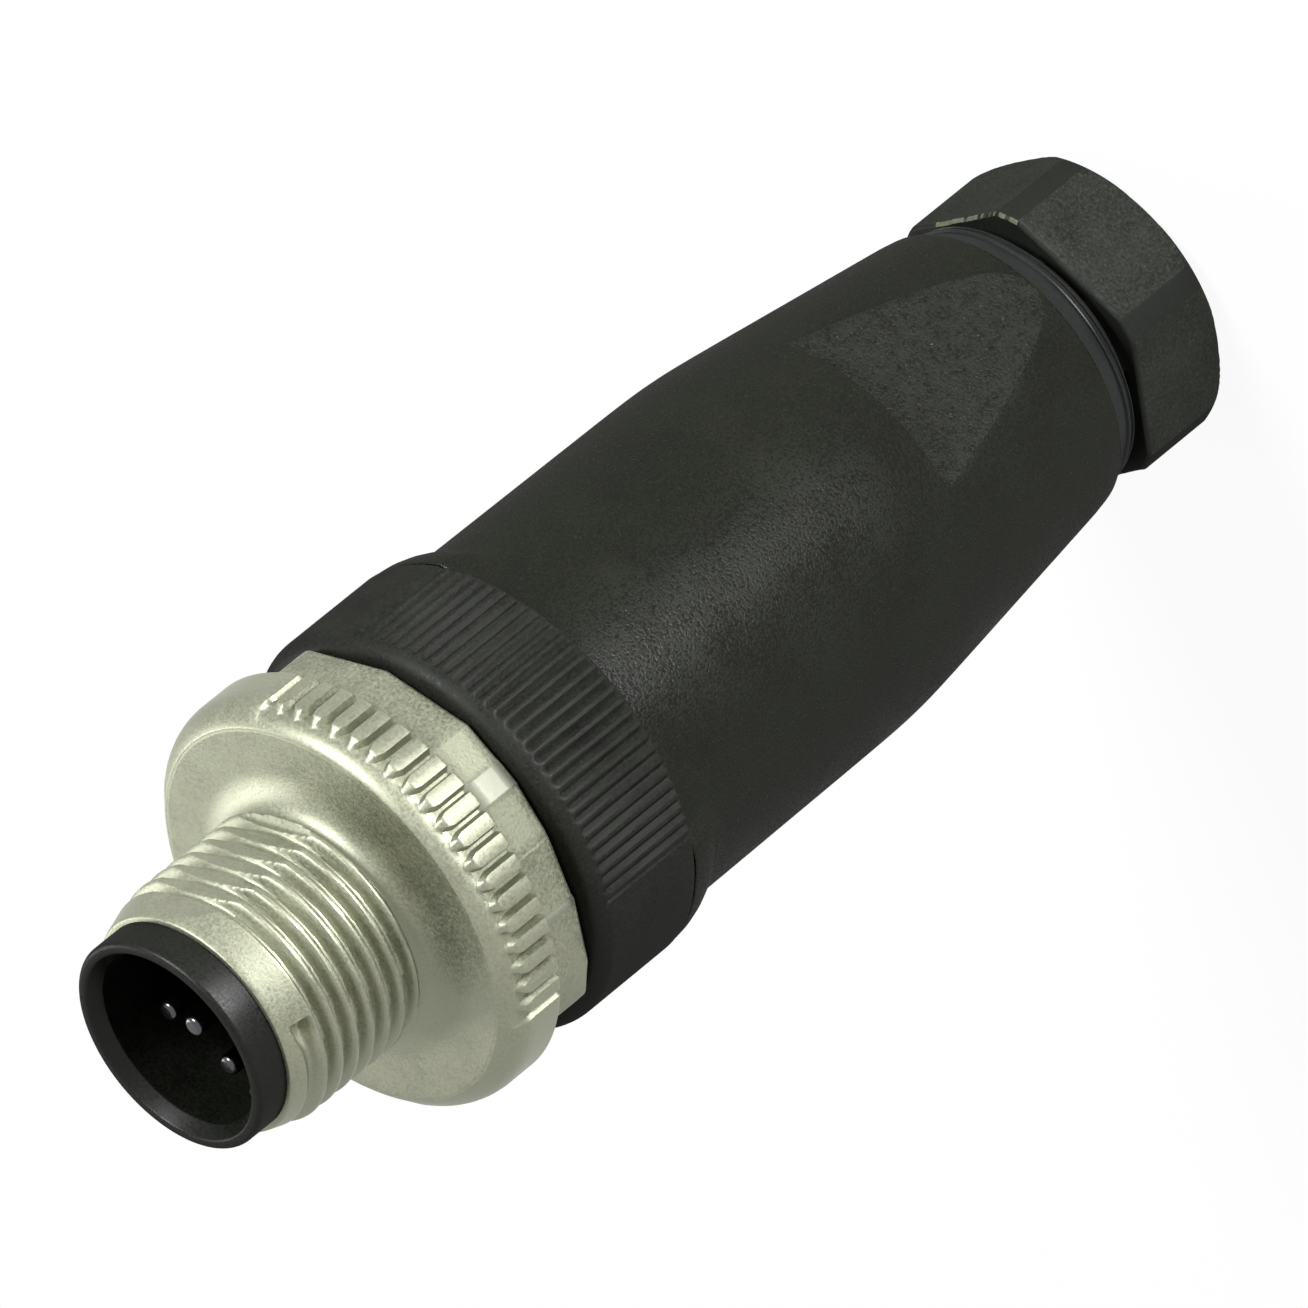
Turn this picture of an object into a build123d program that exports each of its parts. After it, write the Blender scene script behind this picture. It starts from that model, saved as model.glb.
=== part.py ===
# Straight M12 A-coded male cable connector, five contacts, screw terminals.
# It stands on the flat rear face of its gland nut, with the axis along +Z and
# the mating face on top. Millimetres; the origin is the centre of the rear face.
from build123d import *
import os
from math import acos, cos, degrees, radians, sin

os.makedirs("parts", exist_ok=True)

# Overall
LENGTH = 60.9            # gland nut's rear face to the mating rim
RUN = 0.07               # radial clearance of a turning or sliding fit

# Contact carrier with its disc and stem, and the keyed shroud that stands on it
RIM_R = 5.2
RIM_Z = 59.2             # underside of the rim lip that stands before the metal sleeve
SHROUD_R = 4.86
SHROUD_BORE_R = 4.3
RIM_SLOPE = 0.4          # the mouth widens by this much towards the rim
FLOOR_Z = 51.7
DISC_R = 7.42
DISC_Z0, DISC_Z1 = 47.7, 49.25
STEM_R = 6.3
CARRIER_Z0 = 43.2
KEY_PSI = -163.0

# Contacts
PIN_R = 0.5
PIN_PCD = 5.0
PIN_PSI = (-118.0, 152.0, 62.0, -28.0)
OUTER_TIP_Z = LENGTH - 2.0
CENTRE_TIP_Z = LENGTH - 1.26
SHANK_R = 0.8
SHANK_TOP_Z = 48.7
TERM_IN, TERM_OUT, TERM_W = 1.95, 5.1, 2.5
TERM_Z0, TERM_Z1 = 35.7, CARRIER_Z0
WIRE_HOLE_AT = 3.9
WIRE_HOLE_R = 0.8
SCREW_Z = 39.3
MID_TERM_W = 2.4
MID_TERM_Z0, MID_TERM_Z1 = 31.1, 34.9
MID_SCREW_Z = 33.0
MID_SCREW_PSI = 17.0

# Terminal screws
SCREW_R = 0.8
SCREW_HEAD_R = 1.25
SCREW_HEAD_IN, SCREW_HEAD_OUT = 5.16, 6.2

# Terminal block
BLOCK_R = 6.3
BLOCK_Z0, BLOCK_Z1 = 29.3, CARRIER_Z0

# Coupling screw, M12 x 1
THREAD_R = 6.0
THREAD_ROOT_R = 5.42
SLEEVE_BORE_R = SHROUD_R + RUN
SLEEVE_FRONT_R = 5.45
SLEEVE_Z1 = 59.15
THREAD_Z0, THREAD_Z1 = 51.6, 57.45
FLANGE_R = 10.3
FLANGE_Z0, FLANGE_Z1 = 47.5, 50.6
CUP_R = DISC_R + RUN
CUP_Z1 = 49.35
COUPLING_Z0 = 44.85
GROOVES = 60
GROOVE_FLOOR_R = FLANGE_R - 0.43
TOOTHED_HALF = 60.0      # the teeth reach this far to both sides of the photographed side and of its back
CLIP_Z0, CLIP_Z1 = 46.9, 47.55
CLIP_R, CLIP_BORE_R = 8.18, 6.95
# The collar's outline: polar angle from the photographed side, and radius
COLLAR = ((-107.6, 9.84), (-72.4, 9.84), (-44.0, 9.48), (-16.0, 9.5), (-4.0, 9.24),
          (4.0, 9.24), (20.0, 9.12), (39.5, 9.08), (61.0, 9.62))

# Knurled ring
RING_R = 10.1
RING_Z0, RING_Z1 = 38.55, 44.7
RING_BORE_R = 6.5
RING_SLEEVE_R = 6.72
RING_HUB_R, RING_HUB_Z1 = 7.2, 46.7
SPIGOT_R = 8.4
SPIGOT_Z0, SPIGOT_NECK_Z = 33.3, 37.4
SPIGOT_NECK_R = 7.95
RIDGE_PITCH = 3.5
RIDGE_SPAN = 52.0        # each of the two ridged sectors reaches this far from its middle
RIDGE_MID_PSI = -86.0
RIDGE_DEPTH = 0.2

# O-ring between knurled ring and grip body
SEAL_RING_R, SEAL_RING_AT, SEAL_RING_Z = 0.34, 8.36, 37.95

# Grip body
BODY_FRONT_R, BODY_FRONT_Z = 9.28, 38.49
BODY_MID_R, BODY_MID_Z = 9.17, 21.6
BODY_REAR_R, BODY_REAR_Z = 7.3, 7.55
NECK_FRONT_R, NECK_REAR_R = 6.9, 6.6
NECK_Z0 = 5.8
BODY_RECESS_R = 8.76
FLARE = ((10.05, 38.49), (10.03, 38.0), (9.9, 37.5), (9.73, 37.0), (9.49, 36.5), (9.27, 36.0))
FLARE_PSI = 4.0          # the two flares lie between the ring's ridged sectors
FLARE_WIDTH = 12.4
BODY_BORE_R = SPIGOT_R + RUN
CHAMBER_R = 7.5
WEB_Z0, WEB_Z1 = 19.5, 20.8
WEB_BORE_R = 3.6
SEAT_R, SEAT_Z0 = 5.4, 14.0
PATCH_H = 7.28           # flat patch: distance from the axis
PATCH_PSI = -73.5
PATCH_Z1 = 18.2

# Cable gland
GLAND_R = 5.9
GLAND_BORE_R = GLAND_R + RUN
CABLE_R = 3.25
SEAL_Z0 = 14.35
CAGE_Z0, CAGE_BASE_Z, CAGE_NOSE_Z, CAGE_Z1 = 7.3, 12.2, 13.2, 13.6
CAGE_R, CAGE_NOSE_R, CAGE_FINGER_R = 5.9, 5.0, 4.3
CAGE_SLOTS = 8
NUT_HEAD_Z1 = 5.17
NUT_SPIGOT_Z1 = 12.15
NUT_CUP_R, NUT_CUP_Z = 4.6, 6.6
NUT_AF = 13.3
NUT_CORNER_R = 7.35
NUT_LAND_PSI = -47.0


def turned(points, edges=()):
    """Solid of revolution about Z; points are (radius, height), edges are (radius, height, chamfer)."""
    sketch = make_face(Polyline(*points, close=True))
    for r, z, size in edges:
        corner = [v for v in sketch.vertices() if abs(v.X - r) < 1e-4 and abs(v.Y - z) < 1e-4]
        sketch = fillet(corner, size) if size > 1 else chamfer(corner, size)
    return revolve(Plane.XZ * sketch, Axis.Z)


def rod(r, z0, z1, at=0.0, psi=0.0):
    return Rot(0, 0, psi) * Pos(at, 0, (z0 + z1) / 2) * Cylinder(r, z1 - z0)


def spoke(r, a0, a1, z, psi):
    """Radial cylinder from radius a0 to a1 at height z, pointing at angle psi."""
    return Rot(0, 0, psi) * Pos((a0 + a1) / 2, 0, z) * Rot(0, 90, 0) * Cylinder(r, a1 - a0)


def slab(x0, x1, width, z0, z1, psi=0.0):
    return Rot(0, 0, psi) * Pos((x0 + x1) / 2, 0, (z0 + z1) / 2) * Box(x1 - x0, width, z1 - z0)


def prism(outline, z0, z1):
    return extrude(Pos(0, 0, z0) * make_face(Polyline(*outline, close=True)), z1 - z0)


def polar(r, psi):
    return (r * cos(radians(psi)), r * sin(radians(psi)))


def contact_carrier():
    body = turned([(0, CARRIER_Z0), (STEM_R, CARRIER_Z0), (STEM_R, DISC_Z0), (DISC_R, DISC_Z0),
                   (DISC_R, DISC_Z1), (SHROUD_R, DISC_Z1), (SHROUD_R, FLOOR_Z), (0, FLOOR_Z)])
    for psi in PIN_PSI:
        body -= rod(PIN_R + 0.02, SHANK_TOP_Z - 0.1, FLOOR_Z + 0.1, PIN_PCD / 2, psi)
        body -= rod(SHANK_R + 0.02, CARRIER_Z0 - 0.1, SHANK_TOP_Z, PIN_PCD / 2, psi)
    body -= rod(PIN_R + 0.02, SHANK_TOP_Z - 0.1, FLOOR_Z + 0.1)
    body -= rod(SHANK_R + 0.02, CARRIER_Z0 - 0.1, SHANK_TOP_Z)
    return body


def contact_shroud():
    tube = turned([(SHROUD_BORE_R, FLOOR_Z), (SHROUD_R, FLOOR_Z), (SHROUD_R, RIM_Z), (RIM_R, RIM_Z),
                   (RIM_R, LENGTH), (SHROUD_BORE_R + RIM_SLOPE, LENGTH), (SHROUD_BORE_R, LENGTH - 1.6 * RIM_SLOPE)],
                  [(RIM_R, LENGTH, 0.35)])
    return tube + slab(3.65, SHROUD_BORE_R + 0.2, 1.1, FLOOR_Z, LENGTH - 1.1, KEY_PSI)


def pin_rod(tip_z):
    return turned([(0, SHANK_TOP_Z - 0.2), (PIN_R, SHANK_TOP_Z - 0.2), (PIN_R, tip_z), (0, tip_z)],
                  [(PIN_R, tip_z, 0.25)])


def outer_contact(psi):
    pin = pin_rod(OUTER_TIP_Z) + rod(SHANK_R, TERM_Z1, SHANK_TOP_Z)
    pin = Pos(PIN_PCD / 2, 0, 0) * pin
    pin += slab(TERM_IN, TERM_OUT, TERM_W, TERM_Z0, TERM_Z1)
    pin -= rod(WIRE_HOLE_R, TERM_Z0 - 0.1, TERM_Z1 - 2.0, WIRE_HOLE_AT)
    pin -= spoke(SCREW_R + 0.05, WIRE_HOLE_AT, TERM_OUT + 0.1, SCREW_Z, 0)
    return Rot(0, 0, psi) * pin


def centre_contact():
    pin = pin_rod(CENTRE_TIP_Z) + rod(SHANK_R, MID_TERM_Z1 - 0.2, SHANK_TOP_Z)
    pin += slab(-MID_TERM_W / 2, MID_TERM_W / 2, MID_TERM_W, MID_TERM_Z0, MID_TERM_Z1, MID_SCREW_PSI)
    pin -= rod(WIRE_HOLE_R, MID_TERM_Z0 - 0.1, MID_TERM_Z1 - 1.0)
    pin -= spoke(SCREW_R + 0.05, 0, MID_TERM_W, MID_SCREW_Z, MID_SCREW_PSI)
    return pin


def terminal_screw(tip_at, z, psi):
    screw = spoke(SCREW_R, tip_at, SCREW_HEAD_IN + 0.1, z, 0)
    screw += spoke(SCREW_HEAD_R, SCREW_HEAD_IN, SCREW_HEAD_OUT, z, 0)
    screw -= slab(SCREW_HEAD_OUT - 0.5, SCREW_HEAD_OUT + 0.1, 3.0, z - 0.19, z + 0.19)
    return Rot(0, 0, psi) * screw


def terminal_block():
    block = turned([(0, BLOCK_Z0), (BLOCK_R, BLOCK_Z0), (BLOCK_R, BLOCK_Z1), (0, BLOCK_Z1)],
                   [(BLOCK_R, BLOCK_Z0, 0.5)])
    for psi in PIN_PSI:
        block -= slab(TERM_IN, TERM_OUT, TERM_W, TERM_Z0, TERM_Z1 + 0.1, psi)
        block -= rod(WIRE_HOLE_R + 0.15, BLOCK_Z0 - 0.1, TERM_Z0 + 0.1, WIRE_HOLE_AT, psi)
        block -= spoke(SCREW_HEAD_R + 0.1, TERM_OUT - 0.1, BLOCK_R + 0.2, SCREW_Z, psi)
    block -= rod(SHANK_R + 0.03, MID_TERM_Z0, BLOCK_Z1 + 0.1)
    half = MID_TERM_W / 2
    block -= slab(-half, half, MID_TERM_W, MID_TERM_Z0, MID_TERM_Z1, MID_SCREW_PSI)
    block -= rod(WIRE_HOLE_R + 0.15, BLOCK_Z0 - 0.1, MID_TERM_Z0 + 0.1)
    block -= spoke(SCREW_R + 0.1, half - 0.1, TERM_OUT + 0.1, MID_SCREW_Z, MID_SCREW_PSI)
    block -= spoke(SCREW_HEAD_R + 0.1, TERM_OUT, BLOCK_R + 0.2, MID_SCREW_Z, MID_SCREW_PSI)
    return block


def collar_outline():
    points = [polar(r, -90 - theta) for theta, r in COLLAR]
    return points + [(-x, -y) for x, y in points]


def groove_cutter():
    rim = FLANGE_R + 0.3
    outline = [(GROOVE_FLOOR_R, -0.13), (GROOVE_FLOOR_R, 0.13), (rim, 0.42), (rim, -0.42)]
    return prism(outline, FLANGE_Z0 - 0.1, FLANGE_Z1 - 0.95)


def coupling_screw():
    body = turned([(CUP_R, FLANGE_Z0), (FLANGE_R, FLANGE_Z0), (FLANGE_R, FLANGE_Z1), (7.6, FLANGE_Z1),
                   (6.5, FLANGE_Z1 + 0.3), (THREAD_ROOT_R + 0.3, THREAD_Z0), (THREAD_R, THREAD_Z0 + 0.35),
                   (THREAD_R, THREAD_Z1), (SLEEVE_FRONT_R, SLEEVE_Z1), (SLEEVE_BORE_R, SLEEVE_Z1),
                   (SLEEVE_BORE_R, CUP_Z1), (CUP_R, CUP_Z1)],
                  [(FLANGE_R, FLANGE_Z1, 1.2)])
    collar = prism(collar_outline(), COUPLING_Z0, FLANGE_Z0 + 0.1)
    collar -= rod(CUP_R, COUPLING_Z0 - 0.1, FLANGE_Z0 + 0.3)
    body += collar
    cutter = groove_cutter()
    turns = [(i + 0.5) * 360 / GROOVES for i in range(GROOVES)]
    body -= [Rot(0, 0, psi) * cutter for psi in turns if abs(sin(radians(psi))) > cos(radians(TOOTHED_HALF))]
    body -= rod(CLIP_R + 0.02, CLIP_Z0, CLIP_Z1)
    return body


def retaining_ring():
    ring = turned([(CLIP_BORE_R, CLIP_Z0), (CLIP_R, CLIP_Z0), (CLIP_R, CLIP_Z1), (CLIP_BORE_R, CLIP_Z1)])
    return ring - slab(CLIP_BORE_R - 1, CLIP_R + 1, 1.6, CLIP_Z0 - 0.1, CLIP_Z1 + 0.1, 30)


def ridge_cutter(depth):
    rim = RING_R + 0.1
    half = 0.21 * (depth + 0.1) / depth
    outline = [(RING_R - depth, -0.02), (RING_R - depth, 0.02), (rim, half), (rim, -half)]
    return prism(outline, RING_Z0 - 0.1, RING_Z1 - 0.65)


def knurled_ring():
    ring = turned([(RING_BORE_R, SPIGOT_Z0), (SPIGOT_R, SPIGOT_Z0), (SPIGOT_R, SPIGOT_NECK_Z),
                   (SPIGOT_NECK_R, SPIGOT_NECK_Z), (SPIGOT_NECK_R, RING_Z0), (RING_R, RING_Z0),
                   (RING_R, RING_Z1), (RING_HUB_R, RING_Z1), (RING_HUB_R, RING_HUB_Z1),
                   (RING_SLEEVE_R, RING_HUB_Z1), (RING_SLEEVE_R, DISC_Z0), (STEM_R + 0.02, DISC_Z0),
                   (STEM_R + 0.02, CARRIER_Z0), (RING_BORE_R, CARRIER_Z0)],
                  [(RING_R, RING_Z0, 0.12), (RING_R, RING_Z1, 0.3), (SPIGOT_R, SPIGOT_Z0, 0.4)])
    cutter = ridge_cutter(RIDGE_DEPTH)
    steps = int(RIDGE_SPAN / RIDGE_PITCH)
    turns = [RIDGE_MID_PSI + side + i * RIDGE_PITCH for side in (0, 180) for i in range(-steps, steps + 1)]
    return ring - [Rot(0, 0, psi) * cutter for psi in turns]


def body_seal():
    return Pos(0, 0, SEAL_RING_Z) * Torus(SEAL_RING_AT, SEAL_RING_R)


def grip_body():
    body = turned([(GLAND_BORE_R, NECK_Z0), (NECK_REAR_R, NECK_Z0), (NECK_FRONT_R, BODY_REAR_Z - 0.2),
                   (BODY_REAR_R, BODY_REAR_Z), (BODY_MID_R, BODY_MID_Z), (BODY_FRONT_R, BODY_FRONT_Z),
                   (BODY_RECESS_R, BODY_FRONT_Z), (BODY_RECESS_R, SPIGOT_NECK_Z),
                   (BODY_BORE_R, SPIGOT_NECK_Z), (BODY_BORE_R, SPIGOT_Z0 - 0.3),
                   (CHAMBER_R, SPIGOT_Z0 - 0.3), (CHAMBER_R, WEB_Z1 + 1.5), (WEB_BORE_R + 2, WEB_Z1),
                   (WEB_BORE_R, WEB_Z1), (WEB_BORE_R, WEB_Z0), (SEAT_R, WEB_Z0), (SEAT_R, SEAT_Z0),
                   (GLAND_BORE_R, SEAT_Z0)],
                  [(BODY_MID_R, BODY_MID_Z, 14.0),
                   (BODY_REAR_R, BODY_REAR_Z, 0.3)])
    band = turned([(BODY_FRONT_R - 0.3, BODY_FRONT_Z)] + list(FLARE) + [(BODY_FRONT_R - 0.3, FLARE[-1][1])])
    body += band & slab(-12, 12, FLARE_WIDTH, FLARE[-1][1] - 1, BODY_FRONT_Z + 1, FLARE_PSI)
    patch = slab(PATCH_H, PATCH_H + 6, 16, BODY_REAR_Z - 0.25, PATCH_Z1, PATCH_PSI)
    return body - patch


def cable_seal():
    return turned([(CABLE_R, SEAL_Z0), (4.7, SEAL_Z0), (SEAT_R - 0.03, SEAL_Z0 + 1.0),
                   (SEAT_R - 0.03, WEB_Z0), (CABLE_R, WEB_Z0)])


def pinch_ring():
    cage = turned([(CABLE_R, CAGE_Z0), (CAGE_FINGER_R - 0.35, CAGE_Z0), (CAGE_FINGER_R, CAGE_Z0 + 0.9),
                   (CAGE_FINGER_R, CAGE_BASE_Z), (CAGE_R, CAGE_BASE_Z), (CAGE_R, CAGE_NOSE_Z),
                   (CAGE_NOSE_R, CAGE_NOSE_Z), (CAGE_NOSE_R - 0.2, CAGE_Z1), (CABLE_R, CAGE_Z1)])
    slot = slab(CABLE_R - 1, CAGE_FINGER_R + 0.3, 0.7, CAGE_Z0 - 0.1, CAGE_BASE_Z - 0.5)
    return cage - [Rot(0, 0, i * 360 / CAGE_SLOTS) * slot for i in range(CAGE_SLOTS)]


def nut_outline():
    half = degrees(acos(NUT_AF / 2 / NUT_CORNER_R))
    points = []
    for i in range(6):
        middle = NUT_LAND_PSI + 30 + i * 60
        points += [polar(NUT_CORNER_R, middle - half), polar(NUT_CORNER_R, middle + half)]
    return points


def gland_nut():
    round_blank = turned([(CABLE_R, 0), (NUT_CORNER_R, 0), (NUT_CORNER_R, NUT_HEAD_Z1), (GLAND_R, NUT_HEAD_Z1),
                          (GLAND_R, NUT_SPIGOT_Z1), (NUT_CUP_R, NUT_SPIGOT_Z1), (NUT_CUP_R, NUT_CUP_Z + 1.0),
                          (CABLE_R + 0.35, NUT_CUP_Z), (CABLE_R, NUT_CUP_Z)],
                         [(NUT_CORNER_R, 0, 1.5), (NUT_CORNER_R, NUT_HEAD_Z1, 0.2), (CABLE_R, 0, 0.5)])
    hexagon = RegularPolygon(NUT_AF / 2, 6, major_radius=False, rotation=NUT_LAND_PSI)
    cutter = extrude(Pos(0, 0, -0.5) * (Circle(NUT_CORNER_R + 2) - hexagon), NUT_HEAD_Z1 + 0.5)
    return round_blank - cutter


PARTS = {
    "coupling_screw": coupling_screw,
    "retaining_ring": retaining_ring,
    "contact_carrier": contact_carrier,
    "contact_shroud": contact_shroud,
    "terminal_block": terminal_block,
    "knurled_ring": knurled_ring,
    "body_seal": body_seal,
    "grip_body": grip_body,
    "cable_seal": cable_seal,
    "pinch_ring": pinch_ring,
    "gland_nut": gland_nut,
    "contact_pin_5": centre_contact,
    "terminal_screw_5": lambda: terminal_screw(0.9, MID_SCREW_Z, MID_SCREW_PSI),
}
for number, turn in enumerate(PIN_PSI, 1):
    PARTS[f"contact_pin_{number}"] = lambda turn=turn: outer_contact(turn)
    PARTS[f"terminal_screw_{number}"] = lambda turn=turn: terminal_screw(4.35, SCREW_Z, turn)

for name, make in PARTS.items():
    export_step(make(), f"parts/{name}.step")
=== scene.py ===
import math

import bmesh
import bpy
import numpy as np
from bpy.props import FloatProperty, FloatVectorProperty, IntProperty, PointerProperty
from mathutils import Matrix, Vector


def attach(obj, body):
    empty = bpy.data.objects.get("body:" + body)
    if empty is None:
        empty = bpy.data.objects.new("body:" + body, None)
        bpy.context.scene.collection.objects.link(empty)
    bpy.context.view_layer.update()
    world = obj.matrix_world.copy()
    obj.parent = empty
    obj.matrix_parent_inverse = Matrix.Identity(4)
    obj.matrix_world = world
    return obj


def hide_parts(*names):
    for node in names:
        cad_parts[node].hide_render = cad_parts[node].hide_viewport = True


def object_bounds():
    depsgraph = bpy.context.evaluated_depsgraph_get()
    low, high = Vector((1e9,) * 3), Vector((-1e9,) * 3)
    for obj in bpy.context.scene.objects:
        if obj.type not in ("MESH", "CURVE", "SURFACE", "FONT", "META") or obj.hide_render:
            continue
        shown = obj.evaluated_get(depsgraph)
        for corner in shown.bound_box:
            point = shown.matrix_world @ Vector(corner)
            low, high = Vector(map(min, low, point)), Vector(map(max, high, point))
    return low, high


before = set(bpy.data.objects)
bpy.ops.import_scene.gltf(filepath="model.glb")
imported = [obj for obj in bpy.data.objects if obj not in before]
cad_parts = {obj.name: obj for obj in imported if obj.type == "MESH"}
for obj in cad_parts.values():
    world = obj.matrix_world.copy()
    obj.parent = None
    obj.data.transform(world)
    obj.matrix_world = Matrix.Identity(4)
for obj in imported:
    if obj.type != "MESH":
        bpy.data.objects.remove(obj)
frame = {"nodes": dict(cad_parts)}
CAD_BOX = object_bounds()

bl_info = {
    "name": "Round Cable Connector",
    "version": (1, 0, 0),
    "blender": (4, 5, 0),
    "location": "View3D > Sidebar > Connector",
    "description": "Builds the dressed pieces of a straight M12 cable connector around its packed solids",
    "category": "Object",
}

MM = 0.001
LENGTH = CAD_BOX[1].z / MM      # rear face of the gland nut to the mating rim
FLANGE_FACE = 10.3              # front face of the toothed flange, behind the rim
TEETH_END = 13.3                # rear end of the teeth, behind the rim
TOOTHED_HALF = 60.0             # half the angle of a toothed sector, in degrees
COLLAR_REAR = 44.85             # height of the coupling screw's rear end
CARRIER_REAR = 43.2             # height of the rear end of the carrier's stem
DISC_REAR = 47.7                # height of the rear face of the carrier's disc
SHROUD_BORE = 4.3               # radius inside the shroud
CONTACT_FLOOR = 51.7            # height of the floor from which the contacts stand out
CONTACT_CIRCLE = 2.5            # radius of the circle of the four outer contacts
CONTACT_PSI = (-118.0, 152.0, 62.0, -28.0)
BODY_FRONT = 38.49              # height of the grip body's front rim
PATCH_FRONT = 18.2              # height of the flat patch's front edge
NECK_END = 5.80                 # height of the rear end of the grip body's neck
NUT_FRONT = 5.17                # height of the front face of the nut's head


# Settings

def length(name, description, default_mm):
    return FloatProperty(name=name, description=description, default=default_mm * MM, min=0.0,
                         precision=5, unit="LENGTH", subtype="DISTANCE")


def angle(name, description, default_deg):
    return FloatProperty(name=name, description=description, default=math.radians(default_deg),
                         unit="ROTATION", subtype="ANGLE")


def colour(name, description, default):
    return FloatVectorProperty(name=name, description=description, default=default, size=4,
                               min=0.0, max=1.0, subtype="COLOR")


class ConnectorSizes(bpy.types.PropertyGroup):
    thread_crest: length("Thread crest", "Radius of the M12 coupling thread over its crests", 5.97)
    thread_root: length("Thread root", "Radius of the coupling thread at its roots", 5.42)
    thread_pitch: length("Thread pitch", "Advance of the coupling thread in one turn", 1.0)
    thread_flat: length("Thread flat", "Distance of the thread's two parting flats from the axis", 5.52)
    flange_radius: length("Flange radius", "Radius over the teeth of the coupling screw", 10.3)
    tooth_floor: length("Tooth floor", "Radius of the floor between two teeth", 9.88)
    tooth_count: IntProperty(name="Teeth", description="Number of teeth round the flange", default=60,
                             min=24, max=90)
    ring_radius: length("Ring radius", "Outer radius of the knurled ring", 10.1)
    ridge_depth: length("Ridge depth", "Depth of the valleys between the ring's ridges", 0.19)
    ridge_pitch: angle("Ridge pitch", "Angle from one ridge of the ring to the next", 3.5)
    body_front: length("Body front", "Radius of the grip body behind the ring", 9.28)
    body_shoulder: length("Body shoulder", "Radius of the grip body where its taper starts", 9.17)
    body_rear: length("Body rear", "Radius of the grip body at its cable end", 7.3)
    patch_height: length("Patch height", "Distance of the flat patch from the axis", 7.28)
    nut_flats: length("Nut across flats", "Width of the gland nut across its flats", 13.3)
    nut_corner: length("Nut corner", "Radius of the rounded lands between the nut's flats", 7.35)


class ConnectorFinish(bpy.types.PropertyGroup):
    metal: colour("Nickel", "Colour of the nickel-plated coupling screw", (0.268, 0.276, 0.203, 1.0))
    bright: colour("Bright nickel", "Colour of the smooth lands of the collar", (0.222, 0.228, 0.180, 1.0))
    dull: colour("Dull nickel", "Colour of the coupling screw's collar", (0.222, 0.230, 0.166, 1.0))
    steel: colour("Steel", "Colour of the retaining ring and the terminal screws", (0.55, 0.55, 0.53, 1.0))
    # Painted shade: the contacts' colour is nearly black. It stands for the dark they sit in inside the
    # shroud, not for their plating's own colour.
    contact: colour("Contacts", "Colour of the plated contacts", (0.085, 0.083, 0.088, 1.0))
    shroud: colour("Shroud", "Colour of the contact carrier", (0.0056, 0.0064, 0.0044, 1.0))
    ring: colour("Ring", "Colour of the knurled ring", (0.0100, 0.0108, 0.0084, 1.0))
    body: colour("Grip body", "Colour of the grip body", (0.0036, 0.0045, 0.0016, 1.0))
    nut: colour("Gland nut", "Colour of the gland nut", (0.0142, 0.0160, 0.0124, 1.0))
    patch: colour("Patch", "Colour of the grip body's coarse grained patch", (0.0090, 0.0100, 0.0070, 1.0))
    land: colour("Nut land", "Colour of the gland nut's smooth lands and front face",
                 (0.0120, 0.0130, 0.0108, 1.0))
    neck: colour("Neck", "Colour of the smooth neck between grip body and gland nut",
                 (0.0095, 0.0112, 0.0100, 1.0))
    flash: colour("Flash", "Colour of the moulding flash on the nut's edge", (0.070, 0.073, 0.043, 1.0))
    rubber: colour("Rubber", "Colour of the seals", (0.018, 0.018, 0.018, 1.0))
    floor: colour("Floor", "Colour of the studio floor", (0.86, 0.86, 0.86, 1.0))


class StudioLight(bpy.types.PropertyGroup):
    front: FloatProperty(name="Front lamp", description="Power of the low lamp in front of the connector",
                         default=0.30, min=0.0, unit="POWER")
    side: FloatProperty(name="Side lamp", description="Power of the lamp above the connector's right side",
                        default=5.1, min=0.0, unit="POWER")
    back: FloatProperty(name="Back lamp", description="Power of the weak lamp behind the connector",
                        default=0.4, min=0.0, unit="POWER")
    world: FloatProperty(name="Ambient", description="Strength of the even light from all round",
                         default=0.12, min=0.0, max=3.0)
    distance: length("Camera distance", "Distance from the camera to the middle of the connector", 1000.0)
    view_width: length("View width", "Width of the picture at the connector's middle", 56.05)
    shift: FloatVectorProperty(name="Camera shift", size=3, precision=5, unit="LENGTH",
                               description="Offset of the picture from the connector's middle",
                               default=(-0.000065, 0.000073, 0.00012), subtype="TRANSLATION")


# Mesh tools

def rounded(corners, steps=5):
    """(radius, height) points of an outline; a third number rounds that corner with an arc."""
    points = []
    for i, corner in enumerate(corners):
        r, z = corner[:2]
        size = corner[2] if len(corner) > 2 else 0.0
        if not size or i in (0, len(corners) - 1):
            points.append((r, z))
            continue
        here = np.array((r, z), float)
        back = np.array(corners[i - 1][:2], float) - here
        ahead = np.array(corners[i + 1][:2], float) - here
        reach_back, reach_ahead = np.linalg.norm(back), np.linalg.norm(ahead)
        back, ahead = back / reach_back, ahead / reach_ahead
        half = math.acos(max(-1.0, min(1.0, float(back @ ahead)))) / 2
        cut = min(size / math.tan(half), 0.49 * reach_back, 0.49 * reach_ahead)
        radius = cut * math.tan(half)
        middle = here + (back + ahead) / np.linalg.norm(back + ahead) * (radius / math.sin(half))
        start, end = here + back * cut - middle, here + ahead * cut - middle
        sweep = math.atan2(start[0] * end[1] - start[1] * end[0], float(start @ end))
        for k in range(steps + 1):
            turn = sweep * k / steps
            c, s = math.cos(turn), math.sin(turn)
            points.append((middle[0] + c * start[0] - s * start[1],
                           middle[1] + s * start[0] + c * start[1]))
    return points


def smooth(edge0, edge1, x):
    t = np.clip((x - edge0) / (edge1 - edge0), 0.0, 1.0)
    return t * t * (3 - 2 * t)


def off_axis(psi, middle):
    """Signed angle in degrees from a middle direction, from -180 to 180."""
    return (np.asarray(psi) - middle + 180.0) % 360.0 - 180.0


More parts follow.
